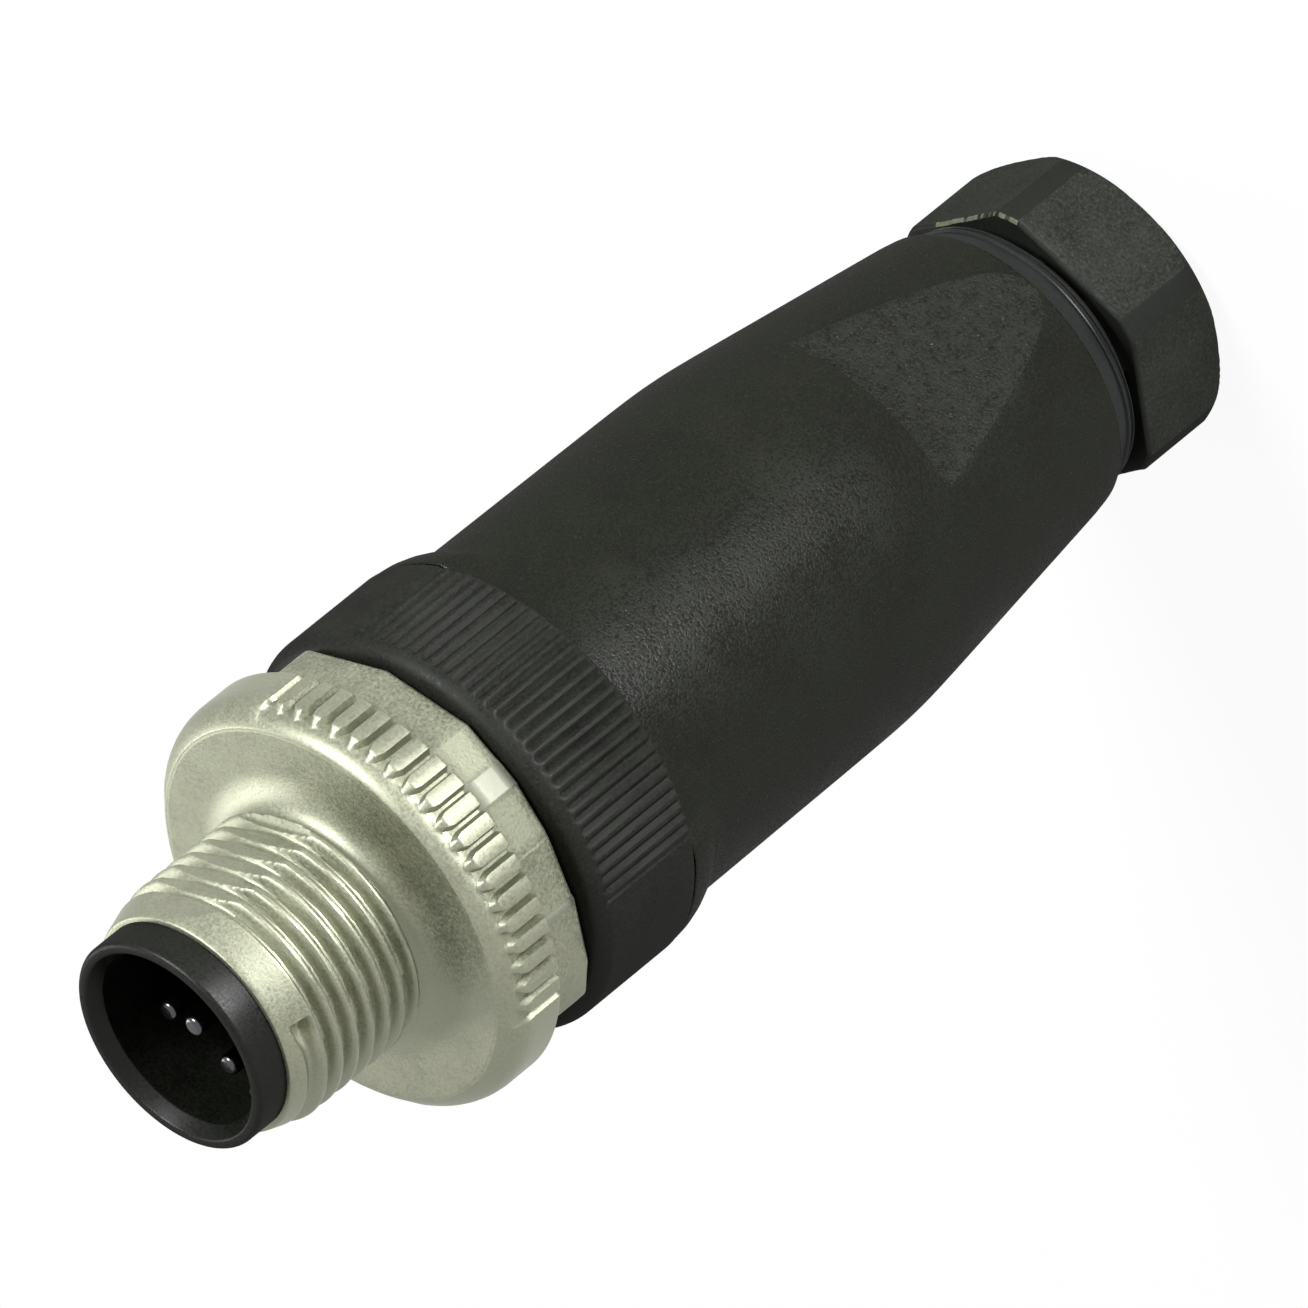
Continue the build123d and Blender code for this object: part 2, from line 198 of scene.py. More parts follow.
def off_either(psi, middle):
    """Angle in degrees from a direction or from the opposite one, whichever is nearer."""
    return np.minimum(np.abs(off_axis(psi, middle)), np.abs(off_axis(psi, middle + 180.0)))


def new_piece(name, verts, faces, material_index=None, sharp=30.0):
    mesh = bpy.data.meshes.new(name)
    mesh.from_pydata([tuple(v) for v in np.asarray(verts) * MM], [], faces)
    if material_index is not None:
        mesh.polygons.foreach_set("material_index", material_index)
    mesh.update()
    work = bmesh.new()
    work.from_mesh(mesh)
    bmesh.ops.remove_doubles(work, verts=work.verts, dist=1e-7)
    bmesh.ops.recalc_face_normals(work, faces=work.faces)
    work.to_mesh(mesh)
    work.free()
    mesh.shade_smooth()
    mesh.set_sharp_from_angle(angle=math.radians(sharp))
    piece = bpy.data.objects.new(name, mesh)
    bpy.context.scene.collection.objects.link(piece)
    return piece


class Shell:
    """Rings of points round the Z axis, joined into one closed skin, with a material mark on each face."""

    def __init__(self):
        self.verts, self.faces, self.marks = [], [], []

    def ring(self, psi, r, z):
        psi = np.asarray(psi, float)
        r, z = np.broadcast_to(r, psi.shape), np.broadcast_to(z, psi.shape)
        start = len(self.verts)
        turn = np.radians(psi)
        self.verts.extend(np.stack((r * np.cos(turn), r * np.sin(turn), z), axis=1))
        return start, len(psi)

    def profile(self, psi, points):
        """One ring for each (radius, height) point."""
        return [self.ring(psi, r, z) for r, z in points]

    def join(self, a, b, mark=0):
        """Joins two rings. One may have twice as many points, with every second one in line."""
        (sa, na), (sb, nb) = a, b
        if nb == 2 * na:
            (sa, na), (sb, nb) = b, a
        marks = mark if hasattr(mark, "__len__") else [mark] * nb
        if na == nb:
            for j in range(na):
                k = (j + 1) % na
                self.faces.append((sa + j, sa + k, sb + k, sb + j))
                self.marks.append(marks[j])
            return
        for j in range(nb):
            k = (j + 1) % nb
            self.faces.append((sb + j, sb + k, sa + (2 * j + 2) % na, sa + 2 * j + 1, sa + 2 * j))
            self.marks.append(marks[j])

    def strip(self, rings, mark=0):
        for a, b in zip(rings, rings[1:]):
            self.join(a, b, mark)

    def cap(self, ring, z):
        start, n = ring
        self.verts.append(np.array((0.0, 0.0, z)))
        top = len(self.verts) - 1
        for j in range(n):
            self.faces.append((start + j, start + (j + 1) % n, top))
            self.marks.append(0)

    def piece(self, name, sharp=30.0):
        return new_piece(name, self.verts, self.faces, self.marks, sharp)


def helix_cut(psi, z, z_zero, pitch, low, high, fade=0.5):
    """Depth of a right-hand thread's groove at each angle and height: 0 at its crest, 1 at its root."""
    turn = (np.asarray(psi) % 360.0) / 360.0
    along = (z - z_zero) / pitch - turn
    away = np.abs(along - np.round(along))
    depth = 1.0 - smooth(0.06, 0.40, away)
    ends = smooth(low - fade / 2, low + fade / 2, z) * (1.0 - smooth(high - fade / 2, high + fade / 2, z))
    return depth * ends


def box_piece(corners_lo, corners_hi, turn_deg, bevel, name):
    """A bevelled block between two corners in its own turned frame."""
    work = bmesh.new()
    bmesh.ops.create_cube(work, size=1.0)
    lo, hi = Vector(corners_lo) * MM, Vector(corners_hi) * MM
    size, middle = hi - lo, (hi + lo) / 2
    spin = Matrix.Rotation(math.radians(turn_deg), 4, "Z")
    block = spin @ Matrix.Translation(middle) @ Matrix.Diagonal((*size, 1.0))
    bmesh.ops.transform(work, matrix=block, verts=work.verts)
    bmesh.ops.bevel(work, geom=list(work.edges), offset=bevel * MM, segments=3, affect="EDGES", profile=0.6)
    mesh = bpy.data.meshes.new(name)
    work.to_mesh(mesh)
    work.free()
    return mesh


# Materials

def group_socket(tree, name, kind, default=None, out=False):
    socket = tree.interface.new_socket(name=name, in_out="OUTPUT" if out else "INPUT", socket_type=kind)
    if default is not None:
        socket.default_value = default
    return socket


def cast_grain_group():
    """Cloudy tone, fine grain and pits of a moulded or cast surface."""
    known = bpy.data.node_groups.get("Cast grain")
    if known:
        return known
    tree = bpy.data.node_groups.new("Cast grain", "ShaderNodeTree")
    group_socket(tree, "Colour", "NodeSocketColor", (0.5, 0.5, 0.5, 1.0))
    group_socket(tree, "Tone Spread", "NodeSocketFloat", 0.1)
    group_socket(tree, "Roughness", "NodeSocketFloat", 0.5)
    group_socket(tree, "Roughness Spread", "NodeSocketFloat", 0.1)
    group_socket(tree, "Cloud Scale", "NodeSocketFloat", 150.0)
    group_socket(tree, "Grain Scale", "NodeSocketFloat", 3500.0)
    group_socket(tree, "Grain Height", "NodeSocketFloat", 0.5)
    group_socket(tree, "Speck Amount", "NodeSocketFloat", 0.0)
    group_socket(tree, "Colour", "NodeSocketColor", out=True)
    group_socket(tree, "Roughness", "NodeSocketFloat", out=True)
    group_socket(tree, "Height", "NodeSocketFloat", out=True)
    nodes, links = tree.nodes, tree.links
    given, put = nodes.new("NodeGroupInput"), nodes.new("NodeGroupOutput")
    place = nodes.new("ShaderNodeTexCoord")

    def noise(scale_socket, detail, rough):
        node = nodes.new("ShaderNodeTexNoise")
        node.inputs["Detail"].default_value = detail
        node.inputs["Roughness"].default_value = rough
        links.new(place.outputs["Object"], node.inputs["Vector"])
        links.new(given.outputs[scale_socket], node.inputs["Scale"])
        return node

    def maths(kind, a, b, clamp=False):
        node = nodes.new("ShaderNodeMath")
        node.operation = kind
        node.use_clamp = clamp
        for socket, value in zip(node.inputs, (a, b)):
            if isinstance(value, (int, float)):
                socket.default_value = value
            else:
                links.new(value, socket)
        return node.outputs[0]

    cloud, grain = noise("Cloud Scale", 3.0, 0.55), noise("Grain Scale", 2.0, 0.65)
    spot = maths("MULTIPLY", maths("MULTIPLY", maths("SUBTRACT", grain.outputs["Fac"], 0.60), 8.0, True),
                 given.outputs["Speck Amount"])
    even = maths("ADD", maths("MULTIPLY", maths("SUBTRACT", cloud.outputs["Fac"], 0.5), 2.4),
                 maths("MULTIPLY", maths("SUBTRACT", grain.outputs["Fac"], 0.5), 5.0))
    spread = maths("ADD", 1.0, maths("MULTIPLY", even, given.outputs["Tone Spread"]))
    tone = maths("MAXIMUM", maths("ADD", spread, spot), 0.1)
    bright = nodes.new("ShaderNodeHueSaturation")
    links.new(tone, bright.inputs["Value"])
    links.new(given.outputs["Colour"], bright.inputs["Color"])
    links.new(bright.outputs["Color"], put.inputs["Colour"])
    links.new(maths("ADD", given.outputs["Roughness"],
                    maths("MULTIPLY", even, given.outputs["Roughness Spread"]), True),
              put.inputs["Roughness"])
    links.new(maths("MULTIPLY", maths("ADD", grain.outputs["Fac"], spot), given.outputs["Grain Height"]),
              put.inputs["Height"])
    return tree


def finish_material(name, base, metallic=0.0, roughness=0.5, level=0.5, tone=0.1, rough_spread=0.05,
                    cloud=150.0, grain=3500.0, height=0.5, bump=0.3, bump_mm=0.02, speck=0.0, coat=0.0,
                    coat_ior=2.4):
    known = bpy.data.materials.get(name)
    if known:
        return known
    material = bpy.data.materials.new(name)
    material.use_nodes = True
    nodes, links = material.node_tree.nodes, material.node_tree.links
    shader = nodes["Principled BSDF"]
    shader.inputs["Metallic"].default_value = metallic
    shader.inputs["Specular IOR Level"].default_value = level
    shader.inputs["Coat Weight"].default_value = coat
    shader.inputs["Coat IOR"].default_value = coat_ior
    surface = nodes.new("ShaderNodeGroup")
    surface.node_tree = cast_grain_group()
    for socket, value in (("Colour", base), ("Tone Spread", tone), ("Roughness", roughness),
                          ("Roughness Spread", rough_spread), ("Cloud Scale", cloud),
                          ("Grain Scale", grain), ("Grain Height", height), ("Speck Amount", speck)):
        surface.inputs[socket].default_value = value
    links.new(surface.outputs["Colour"], shader.inputs["Base Color"])
    links.new(surface.outputs["Roughness"], shader.inputs["Roughness"])
    links.new(surface.outputs["Roughness"], shader.inputs["Coat Roughness"])
    relief = nodes.new("ShaderNodeBump")
    relief.inputs["Strength"].default_value = bump
    relief.inputs["Distance"].default_value = bump_mm * MM
    links.new(surface.outputs["Height"], relief.inputs["Height"])
    links.new(relief.outputs["Normal"], shader.inputs["Normal"])
    links.new(relief.outputs["Normal"], shader.inputs["Coat Normal"])
    return material


def own_finish(name, slot, **values):
    """A finish in one of the connector's own colours."""
    return finish_material(name, getattr(bpy.context.scene.connector_finish, slot), **values)


def moulded_finish(name, slot, coat, **values):
    """A black moulding. Its sheen is a thin coat, because a plain sheen would turn its edges white."""
    return own_finish(name, slot, level=0.0, coat=coat, **values)


def nickel_finish():
    return own_finish("Nickel plating", "metal", metallic=0.85, roughness=0.46, tone=0.15, rough_spread=0.10,
                      cloud=450.0, grain=7500.0, height=1.0, bump=0.55, bump_mm=0.016)


def dull_nickel_finish():
    return own_finish("Dull nickel plating", "dull", metallic=0.75, roughness=0.60, level=0.4, tone=0.26,
                      rough_spread=0.16, cloud=450.0, grain=6500.0, height=1.0, bump=0.8, bump_mm=0.02)


def bright_nickel_finish():
    return own_finish("Worn bright nickel", "bright", metallic=0.85, roughness=0.36, tone=0.03,
                      rough_spread=0.02, cloud=450.0, grain=9000.0, height=1.0, bump=0.15, bump_mm=0.006)


def steel_finish():
    return own_finish("Bright steel", "steel", metallic=1.0, roughness=0.32, tone=0.05, cloud=500.0,
                      grain=9000.0, bump=0.15, bump_mm=0.006)


# Painted shade: the contacts are coloured nearly black for the dark inside the shroud, with only their
# highlights left bright.
def dark_shaded_contact_finish():
    return own_finish("Plated contact in painted shade", "contact", metallic=1.0, roughness=0.22, tone=0.04, cloud=700.0,
                      grain=12000.0, bump=0.1, bump_mm=0.004)


def shroud_finish():
    return moulded_finish("Shroud moulding", "shroud", 0.095, roughness=0.38, tone=0.35, rough_spread=0.12,
                          cloud=500.0, grain=7500.0, bump=0.5, bump_mm=0.015)


def ring_finish():
    return moulded_finish("Ring moulding", "ring", 0.07, roughness=0.50, tone=0.40, rough_spread=0.14,
                          cloud=500.0, grain=7500.0, bump=0.6, bump_mm=0.018, speck=0.4)


def body_finish():
    return moulded_finish("Fine grained moulding", "body", 0.118, roughness=0.33, tone=0.52,
                          rough_spread=0.32, cloud=260.0, grain=7400.0, height=1.0, bump=1.0, bump_mm=0.03,
                          speck=3.0)


def patch_finish():
    return moulded_finish("Coarse grained patch", "patch", 0.09, roughness=0.44, tone=0.50, rough_spread=0.30,
                          cloud=1600.0, grain=6000.0, height=1.0, bump=1.0, bump_mm=0.06, speck=6.0)


def nut_finish():
    return moulded_finish("Nut moulding", "nut", 0.07, roughness=0.44, tone=0.42, rough_spread=0.14,
                          cloud=350.0, grain=7000.0, bump=0.8, bump_mm=0.022, speck=0.5)


def land_finish():
    return moulded_finish("Smooth dark land", "land", 0.05, roughness=0.40, tone=0.14, rough_spread=0.04,
                          cloud=350.0, grain=9000.0, bump=0.15, bump_mm=0.006)


def neck_finish():
    return moulded_finish("Smooth neck", "neck", 0.12, roughness=0.34, tone=0.15, rough_spread=0.06,
                          cloud=350.0, grain=9000.0, bump=0.15, bump_mm=0.006)


def flash_finish():
    return own_finish("Moulding flash", "flash", roughness=0.6, level=0.3, tone=0.35, cloud=1500.0,
                      grain=9000.0, bump=0.5, bump_mm=0.03)


def rubber_finish():
    return own_finish("Seal rubber", "rubber", roughness=0.6, level=0.3, tone=0.12, cloud=500.0,
                      grain=5000.0, bump=0.3, bump_mm=0.02)


def dress(piece, *materials):
    slots = piece.data.materials
    for i, material in enumerate(materials):
        if i < len(slots):
            slots[i] = material
        else:
            slots.append(material)


# Pieces

def tooth_shape(count, ahead):
    """Angles of one ring's columns over all teeth, and how far each stands in its groove. The crests run to a
    point at their front ends, and the two plain sectors have no grooves."""
    pitch = 360.0 / count
    crest = (0.10 + 0.21 * float(smooth(10.95, 11.75, ahead))) * pitch
    crest = max(crest - 0.10 * pitch * float(smooth(11.2, 10.9, ahead)), 0.015 * pitch)
    foot = crest + 0.125 * pitch
    share = np.array((-0.49 * pitch, -foot, -(crest + foot) / 2, -crest, -crest / 2))
    share = np.concatenate((share, (0.0,), -share[::-1]))
    groove = np.array((1.0, 1.0, 0.55, 0.06, 0.0, 0.0, 0.0, 0.06, 0.55, 1.0, 1.0))
    theta = np.concatenate([i * pitch + share for i in range(count)])
    side = off_either(theta, 0.0)
    fading = 1.0 - 0.45 * smooth(TOOTHED_HALF - 12.0, TOOTHED_HALF - 1.0, side)
    return theta, np.tile(groove, count) * np.where(side < TOOTHED_HALF - 0.05, fading, 0.0)


def collar_radius(theta):
    """Outline of the collar behind the teeth: straight runs between corners, repeated after half a turn."""
    corners = [(-107.6, 9.84), (-72.4, 9.84), (-44.0, 9.48), (-16.0, 9.5), (-4.2, 9.24), (4.2, 9.24),
               (20.0, 9.12), (39.5, 9.08), (41.0, 9.20), (61.0, 9.62), (72.4, 9.84)]
    theta = (np.asarray(theta) + 107.6) % 180.0 - 107.6
    out = np.zeros_like(theta)
    for (a, ra), (b, rb) in zip(corners, corners[1:]):
        here = (theta >= a) & (theta <= b)
        a, b, t = np.radians(a), np.radians(b), np.radians(theta[here])
        xa, ya, xb, yb = ra * math.cos(a), ra * math.sin(a), rb * math.cos(b), rb * math.sin(b)
        cross = xa * yb - ya * xb
        out[here] = cross / (np.cos(t) * (yb - ya) - np.sin(t) * (xb - xa))
    return out


def thread_radius(size, theta, ahead):
    """Radius of the coupling thread at a distance behind the rim, with its start, flats and trumpet."""
    crest, root = size.thread_crest / MM, size.thread_root / MM
    pitch, flat = size.thread_pitch / MM, size.thread_flat / MM
    start_theta, start_ahead = 27.0, 2.75           # where the groove of the thread starts
    runout, trumpet, foot = 9.2, 9.35, 7.35         # starts of run-out and trumpet, and its widest radius
    plain = np.interp(ahead, (1.71, 1.82, 3.47), (5.40, 5.465, crest))
    start = (theta - start_theta) % 360.0
    along = (ahead - start_ahead) / pitch - start / 360.0
    turn = np.round(along)
    away = np.abs(along - turn)
    open_now = (turn > 0) | ((turn == 0) & (start > 0))
    entry = np.where(turn <= 0, smooth(0.0, 1.6, start), 1.0)
    root = root - np.where(turn <= 0, 0.28 * (1.0 - smooth(6.0, 18.0, start)), 0.0)
    wide = np.where(turn <= 0, 0.13 * (1.0 - smooth(4.0, 16.0, start)), 0.0)
    cut = (1.0 - smooth(0.05 + wide, 0.43 + wide, away)) * np.where(open_now & (turn >= 0), entry, 0.0)
    cut = cut * (1.0 - smooth(runout, runout + 0.55, ahead))
    r = plain - cut * np.clip(plain - root, 0.0, None)
    if ahead > runout:
        r = r - smooth(runout, runout + 0.5, ahead) * (crest - 5.60)
    for middle in (-52.0, 128.0):
        away = off_axis(theta, middle)
        face = np.where(np.abs(away) < 60.0, flat / np.cos(np.radians(np.clip(away, -60, 60))), 99.0)
        face = face + 0.5 * smooth(8.9, 9.5, ahead)
        r = np.minimum(r, np.maximum(face, root - 0.05))
    if ahead > trumpet - 0.05:
        drop = np.clip((ahead - trumpet) / (FLANGE_FACE - trumpet), 0.0, 1.0)
        r = np.maximum(r, foot - 1.8 * math.sqrt(max(0.0, 1.0 - drop * drop)))
    return r


def tooth_ring(size, ahead):
    """One ring of the toothed band, on its rounded front corner or behind it."""
    crest, floor = size.flange_radius / MM, size.tooth_floor / MM
    theta, groove = tooth_shape(size.tooth_count, ahead)
    low = float(np.interp(ahead, (10.32, 10.36, 10.5, 10.75, 11.0, 11.3, 11.7, 12.0),
                          (9.40, 9.47, 9.63, 9.81, 9.89, 9.93, 9.90, floor)))
    high = float(np.interp(ahead, (10.32, 10.36, 10.5, 10.75, 11.0, 11.25, 11.5, 11.8),
                           (9.40, 9.47, 9.66, 9.91, 10.09, 10.20, 10.27, crest)))
    tooth = low + (crest - low) * float(smooth(10.92, 11.45, ahead))
    side = off_either(theta, 0.0)
    last = TOOTHED_HALF - 3.0
    whole = np.where(side < last, tooth, tooth + (high - tooth) * smooth(last, last + 5.0, side))
    return theta, whole - groove * (whole - low)


def make_coupling_screw(size):
    bore, seat, groove = 4.93, 7.49, 8.2            # radii: front bore, bore for the disc, ring groove
    shell = Shell()
    fine, _ = tooth_shape(size.tooth_count, 12.5)
    coarse = fine[::2]
    psi_f, psi_c = -90.0 - fine, -90.0 - coarse

    def at(ahead):
        return LENGTH - ahead

    rows = shell.profile(psi_c, ((bore, 49.35), (bore, 58.9), (bore + 0.1, at(1.71)), (5.36, at(1.71))))
    thread = np.concatenate(((1.735, 1.78, 1.85), np.linspace(2.0, 2.2, 3), np.arange(2.26, 9.9, 0.065),
                             np.linspace(9.93, 10.26, 8), (10.285, 10.298)))
    for ahead in thread:
        rows.append(shell.ring(psi_c, thread_radius(size, coarse, float(ahead)), at(float(ahead))))
    rows += shell.profile(psi_c, ((7.6, at(FLANGE_FACE)), (8.6, at(FLANGE_FACE))))
    front, _ = tooth_shape(size.tooth_count, FLANGE_FACE)
    edge_of_face = ((9.20, FLANGE_FACE), (9.25, 10.301), (9.30, 10.312), (9.345, 10.316), (9.375, 10.315))
    face = [shell.ring(-90.0 - front, r, at(ahead)) for r, ahead in edge_of_face]
    band = []
    corner = (10.32, 10.36, 10.42, 10.5, 10.6, 10.75, 10.9, 10.97, 11.04, 11.11, 11.18, 11.25, 11.32, 11.4,
              11.48, 11.56, 11.64, 11.72, 11.8, 11.9, 12.0)
    for ahead in corner + (12.2, 12.7, 13.2, TEETH_END - 0.01):
        theta, radius = tooth_ring(size, ahead)
        band.append(shell.ring(-90.0 - theta, radius, at(ahead)))
    teeth_end = tooth_ring(size, TEETH_END)[1]
    side, scored = off_either(fine, 0.0), off_either(fine, 20.0)
    land = ((side < 4.0) | (off_either(fine, 40.2) < 0.9)).astype(int)
    collar = collar_radius(fine) + 0.05 * (1.0 - smooth(3.9, 4.4, side))
    collar = collar - 0.04 * (1.0 - smooth(0.3, 1.2, scored))
    edge = shell.profile(psi_f, ((teeth_end - 0.03, at(13.34)), (teeth_end - 0.09, at(13.37)),
                                 (collar + 0.03, at(13.37)), (collar, at(13.41)), (collar, at(14.4)),
                                 (collar, at(15.4)), (collar - 0.015, at(15.86)),
                                 (collar - 0.07, at(15.96)), (collar - 0.16, COLLAR_REAR)))
    inside = shell.profile(psi_c, ((7.6, COLLAR_REAR), (seat, 44.96), (seat, 46.9), (groove, 46.9),
                                   (groove, 47.55), (seat, 47.55), (seat, 49.35)))
    shell.strip(rows + face + band + edge[:4])
    shell.strip(edge[3:7], 2 - land)
    shell.strip(edge[6:] + inside + [rows[0]])
    piece = shell.piece("coupling_screw_dressed", sharp=38.0)
    dress(piece, nickel_finish(), bright_nickel_finish(), dull_nickel_finish())
    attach(piece, "coupling")
    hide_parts("coupling_screw")


def make_contact_carrier(size):
    columns, key_psi, key_depth = 192, -163.0, 0.65
    psi = np.arange(columns) * 360.0 / columns
    key = np.abs(off_axis(psi, key_psi))
    shell = Shell()
    outer = rounded([(6.3, CARRIER_REAR), (6.3, DISC_REAR), (7.42, DISC_REAR, 0.08), (7.42, 49.25, 0.08),
                     (4.86, 49.25), (4.86, 59.2), (5.2, 59.2), (5.2, LENGTH, 0.45), (4.70, LENGTH, 0.14),
                     (SHROUD_BORE, 60.22, 0.2), (SHROUD_BORE, 59.9)], 7)
    rings = shell.profile(psi, outer)
    wall = np.where(key < 8.6, 1.0, 0.0) * (1.0 - smooth(7.2, 8.4, key))
    for z, share in ((59.8, 0.0), (59.7, 0.6), (59.58, 1.0), (56.0, 1.0), (52.3, 1.0)):
        rings.append(shell.ring(psi, SHROUD_BORE - key_depth * share * wall, z))
    foot = SHROUD_BORE - key_depth * wall
    rings += shell.profile(psi, ((foot - 0.03, CONTACT_FLOOR + 0.2), (foot - 0.2, CONTACT_FLOOR),
                                 (2.0, CONTACT_FLOOR)))
    shell.strip(rings)
    shell.cap(rings[-1], CONTACT_FLOOR)
    shell.cap(rings[0], CARRIER_REAR)
    piece = shell.piece("contact_carrier_dressed", sharp=35.0)
    dress(piece, shroud_finish())
    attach(piece, "insert")
    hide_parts("contact_carrier", "contact_shroud")


def contact_pin(name, at, psi, tip, shank_low, block, block_turn):
    """A contact: round-nosed pin and shank, with its square terminal below."""
    columns = 40
    shell = Shell()
    outline = rounded([(0.78, shank_low), (0.78, 48.6, 0.1), (0.5, 48.6), (0.5, tip, 0.47), (0.02, tip)], 9)
    around = np.arange(columns) * 360.0 / columns
    rings = shell.profile(around, outline)
    shell.strip(rings)
    shell.cap(rings[-1], tip + 0.002)
    shell.cap(rings[0], shank_low)
    piece = shell.piece(name, sharp=35.0)
    turn = math.radians(psi)
    piece.data.transform(Matrix.Translation((at * math.cos(turn) * MM, at * math.sin(turn) * MM, 0.0)))
    terminal = box_piece(block[0], block[1], block_turn, 0.12, name + "_terminal")
    work = bmesh.new()
    work.from_mesh(piece.data)
    work.from_mesh(terminal)
    work.to_mesh(piece.data)
    work.free()
    bpy.data.meshes.remove(terminal)
    piece.data.set_sharp_from_angle(angle=math.radians(35.0))
    dress(piece, dark_shaded_contact_finish())
    return piece


def make_contacts(size):
    for number, psi in enumerate(CONTACT_PSI, 1):
        piece = contact_pin(f"contact_{number}_dressed", CONTACT_CIRCLE, psi, LENGTH - 2.3, CARRIER_REAR,
                            ((1.95, -1.25, 35.7), (5.1, 1.25, CARRIER_REAR)), psi)
        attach(piece, "insert")
        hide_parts(f"contact_pin_{number}")
    middle_block = ((-1.2, -1.2, 31.1), (1.2, 1.2, 34.9))
    piece = contact_pin("contact_5_dressed", 0.0, 0.0, LENGTH - 1.5, 34.9, middle_block, 17.0)
    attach(piece, "insert")
    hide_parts("contact_pin_5")


def ring_columns(size):
    """Angles that follow each ridge in the two knurled sectors, and run evenly over the two smooth ones."""
    pitch = math.degrees(size.ridge_pitch)
    first, last = -56.0, 48.0
    steps = int((last - first) / pitch)
    crest = first + 0.44 + pitch * np.arange(steps)
    share = np.array((-0.5, -0.36, -0.14, 0.0, 0.14, 0.36)) * pitch
    knurl = (crest[:, None] + share[None, :]).ravel()
    plain = np.linspace(crest[-1] + pitch * 0.5, 180.0 + crest[0] - pitch * 0.5, 44)[:-1]
    sector = np.concatenate((knurl, plain))
    return np.concatenate((sector, sector + 180.0)), crest, pitch


def ring_cut(theta, crest, pitch):
    """0 on a ridge's crest and in the smooth sectors, 1 in the valley between two ridges."""
    theta = (np.asarray(theta) - crest[0] + pitch / 2 + 1e-6) % 180.0
    phase = (theta % pitch) / pitch - 0.5
    away = np.abs(phase) * 2.0
    return np.where(theta < pitch * len(crest), smooth(0.22, 0.95, away), 0.0)


def make_knurled_ring(size):
    theta, crest, pitch = ring_columns(size)
    psi = -90.0 - theta
    outer, depth = size.ring_radius / MM, size.ridge_depth / MM
    cut = ring_cut(theta, crest, pitch)
    shell = Shell()
    rings = shell.profile(psi, ((6.5, CARRIER_REAR), (6.5, 33.4), (6.6, 33.3)))
    for z in np.concatenate(((33.3, 33.4, 33.5), np.arange(33.6, 37.35, 0.1), (37.36, 37.4))):
        worn = 0.3 * (1.0 - smooth(33.3, 33.7, z))
        rings.append(shell.ring(psi, 8.4 - worn - 0.28 * helix_cut(psi, z, 33.0, 1.0, 33.4, 37.4), z))
    rings += shell.profile(psi, ((7.95, 37.42), (7.95, 38.53), (8.05, 38.55), (outer - 0.22, 38.55)))
    for z, share, drop in ((38.60, 0.55, 0.10), (38.68, 0.9, 0.03), (38.8, 1.0, 0.0), (41.2, 1.0, 0.0),
                           (43.72, 1.0, 0.0), (43.86, 0.75, 0.01), (43.98, 0.25, 0.04), (44.06, 0.0, 0.08)):
        rings.append(shell.ring(psi, outer - drop - depth * share * cut, z))
    rings += shell.profile(psi, ((outer - 0.14, 44.2), (outer - 0.26, 44.4), (outer - 0.42, 44.56),
                                 (outer - 0.62, 44.66), (outer - 0.9, 44.7), (7.3, 44.7), (7.2, 44.8),
                                 (7.2, 46.6), (7.1, 46.7), (6.72, 46.7), (6.72, DISC_REAR),
                                 (6.32, DISC_REAR), (6.32, CARRIER_REAR)))
    shell.strip(rings + [rings[0]])
    piece = shell.piece("knurled_ring_dressed", sharp=42.0)
    dress(piece, ring_finish())
    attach(piece, "insert")
    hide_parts("knurled_ring")


def make_body_seal(size):
    columns, around = 120, 20
    psi = np.arange(columns) * 360.0 / columns
    shell = Shell()
    rings = []
    for k in range(around):
        turn = 2 * math.pi * k / around
        rings.append(shell.ring(psi, 8.36 + 0.34 * math.cos(turn), 37.95 + 0.34 * math.sin(turn)))
    shell.strip(rings + [rings[0]])
    piece = shell.piece("body_seal_dressed", sharp=80.0)
    dress(piece, rubber_finish())
    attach(piece, "seal_ring")
    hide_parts("body_seal")


def body_radius(size, z):
    """Plain outer radius of the grip body at a height."""
    front, shoulder, rear = size.body_front / MM, size.body_shoulder / MM, size.body_rear / MM
    low, bend = 9.33, 21.6                          # heights where the taper starts and ends
    heights = (7.3, 7.42, 7.55, 8.3, low)
    radii = (rear - 0.12, rear - 0.03, rear, rear + 0.135, rear + 0.27)
    if z < low:
        return float(np.interp(z, heights, radii))
    taper = radii[-1] + (shoulder - radii[-1]) * (z - low) / (bend - low)
    straight = shoulder + (front - shoulder) * (z - bend) / (BODY_FRONT - bend)
    soft = 0.10
    return -soft * math.log(math.exp(-taper / soft) + math.exp(-straight / soft))


